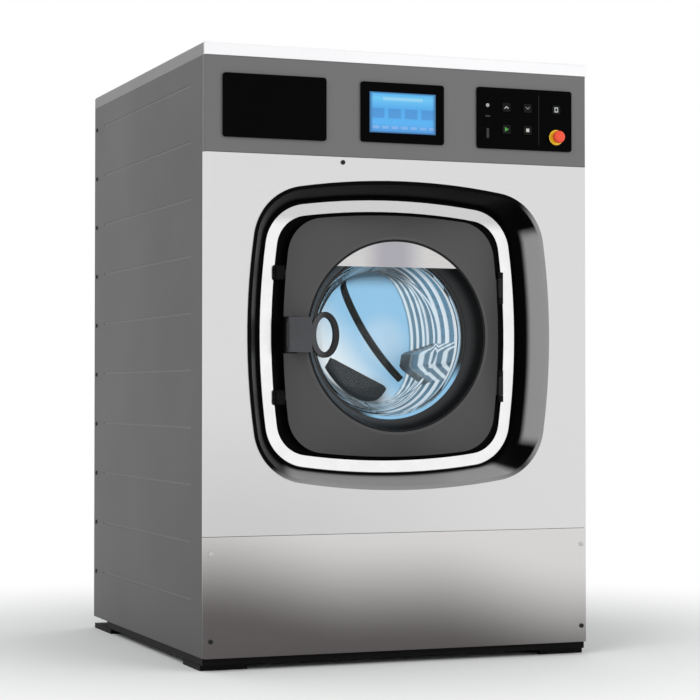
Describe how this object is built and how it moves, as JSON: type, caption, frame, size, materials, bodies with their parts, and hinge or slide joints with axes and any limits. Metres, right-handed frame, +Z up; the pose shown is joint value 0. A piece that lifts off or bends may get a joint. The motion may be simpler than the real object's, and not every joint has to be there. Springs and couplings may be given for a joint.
{
  "type": "front-loading washer-extractor",
  "caption": "Commercial front-loading washing machine with a round glass door in a sunken surround, touch screen, push keys, soap drawer and a belt-driven drum.",
  "frame": {"origin": "centre of the four floor anchor holes, at floor level", "axes": "+Z is up, the door faces -Y, +X is to the right of someone facing the door"},
  "size_m": [0.904, 1.009, 1.328],
  "materials": {
    "frame_black": "semi-matt black paint",
    "panel_grey": "fine-textured grey paint",
    "fascia_grey": "satin grey paint",
    "stainless": "finely brushed stainless steel",
    "trim_white": "bright satin trim",
    "surround_black": "satin black",
    "ring_silver": "bright silver",
    "door_grey": "dark grey, satin",
    "door_black": "black, glossy",
    "door_glass": "clear",
    "handle_grey": "grey, satin",
    "polished": "polished plate",
    "drum_steel": "stainless steel",
    "steel": "turned steel",
    "zinc": "zinc-plated",
    "iron": "painted casting",
    "motor_paint": "blue-grey paint",
    "rubber_black": "black rubber",
    "gasket_grey": "grey rubber",
    "plastic_white": "white",
    "plastic_black": "black",
    "panel_gloss": "black, glossy",
    "screen_lit": "lit blue",
    "key_grey": "dark grey",
    "stop_red": "red",
    "stop_yellow": "yellow"
  },
  "bodies": {
    "cabinet": {"base_frame": "frame_black", "foot_plates": "frame_black", "side_panel_left": "panel_grey", "side_panel_right": "panel_grey", "top_cover": "panel_grey", "lid_front_trim": "trim_white", "control_fascia": "fascia_grey", "upper_front_panel": "stainless", "lower_service_panel": "stainless", "door_surround": "surround_black", "surround_ring": "ring_silver", "hinge_brackets": "frame_black", "hinge_pins": "steel", "lock_housing": "plastic_black", "tub_front": "drum_steel", "tub": "drum_steel", "door_gasket": "gasket_grey", "bearing_housing": "iron", "shaft_bearings": "steel", "shaft_seal": "rubber_black", "motor_body": "motor_paint", "drive_belts": "rubber_black", "soap_box": "plastic_white", "inlet_valves": "plastic_white", "water_hoses": "rubber_black", "drain_valve": "plastic_black", "drain_pipe": "plastic_black", "screen_bezel": "panel_gloss", "screen_glass": "screen_lit", "key_panel": "panel_gloss", "estop_collar": "stop_yellow", "rear_panel": "panel_grey", "rear_access_cover": "panel_grey", "cable_gland": "plastic_black", "panel_screws": "zinc", "inverter_box": "zinc"},
    "door": {"door_rim": "door_black", "door_face": "door_grey", "porthole_funnel": "door_black", "door_glass": "door_glass", "glass_clamp_ring": "zinc", "crescent_trim": "polished", "handle_bracket": "zinc", "catch_tongue": "zinc"},
    "handle": {"handle_lever": "handle_grey"},
    "lock_bolt_body": {"lock_bolt": "steel"},
    "drum": {"drum_shell": "drum_steel", "drum_lifters": "drum_steel", "drum_spider": "iron", "drum_shaft": "steel", "drum_pulley": "iron"},
    "motor_rotor": {"motor_pulley": "iron"},
    "drawer": {"soap_drawer": "plastic_white", "drawer_front": "panel_gloss"},
    "emergency_stop": {"estop_button": "stop_red"},
    "start_key": {"key_start": "key_grey"},
    "stop_key": {"key_stop": "key_grey"},
    "up_key": {"key_up": "key_grey"},
    "down_key": {"key_down": "key_grey"},
    "door_key": {"key_door": "key_grey"}
  },
  "joints": [
    {"name": "door_hinge", "type": "hinge", "parent": "cabinet", "child": "door", "pos_m": [0.261, -0.409, 0.711], "axis": [0, 0, 1], "range_deg": [0, 120]},
    {"name": "handle_pull", "type": "hinge", "parent": "door", "child": "handle", "pos_m": [-0.24, -0.435, 0.711], "axis": [0, 0, -1], "range_deg": [0, 25], "stiffness_Nm_per_rad": 3},
    {"name": "lock_slide", "type": "slide", "parent": "cabinet", "child": "lock_bolt_body", "axis": [1, 0, 0], "range_m": [0, 0.02]},
    {"name": "drum_spin", "type": "hinge", "parent": "cabinet", "child": "drum", "pos_m": [0, 0, 0.711], "axis": [0, 1, 0], "continuous": true},
    {"name": "motor_spin", "type": "hinge", "parent": "cabinet", "child": "motor_rotor", "pos_m": [0, 0, 0.182], "axis": [0, 1, 0], "continuous": true},
    {"name": "drawer_slide", "type": "slide", "parent": "cabinet", "child": "drawer", "axis": [0, -1, 0], "range_m": [0, 0.18]},
    {"name": "estop_press", "type": "slide", "parent": "cabinet", "child": "emergency_stop", "axis": [0, 1, 0], "range_m": [0, 0.006], "stiffness_N_per_m": 1200},
    {"name": "start_press", "type": "slide", "parent": "cabinet", "child": "start_key", "axis": [0, 1, 0], "range_m": [0, 0.0015], "stiffness_N_per_m": 800},
    {"name": "stop_press", "type": "slide", "parent": "cabinet", "child": "stop_key", "axis": [0, 1, 0], "range_m": [0, 0.0015], "stiffness_N_per_m": 800},
    {"name": "up_press", "type": "slide", "parent": "cabinet", "child": "up_key", "axis": [0, 1, 0], "range_m": [0, 0.0015], "stiffness_N_per_m": 800},
    {"name": "down_press", "type": "slide", "parent": "cabinet", "child": "down_key", "axis": [0, 1, 0], "range_m": [0, 0.0015], "stiffness_N_per_m": 800},
    {"name": "door_press", "type": "slide", "parent": "cabinet", "child": "door_key", "axis": [0, 1, 0], "range_m": [0, 0.0015], "stiffness_N_per_m": 800}
  ],
  "couplings": [
    {"joint": "motor_spin", "follows": "drum_spin", "ratio": 5.665}
  ]
}
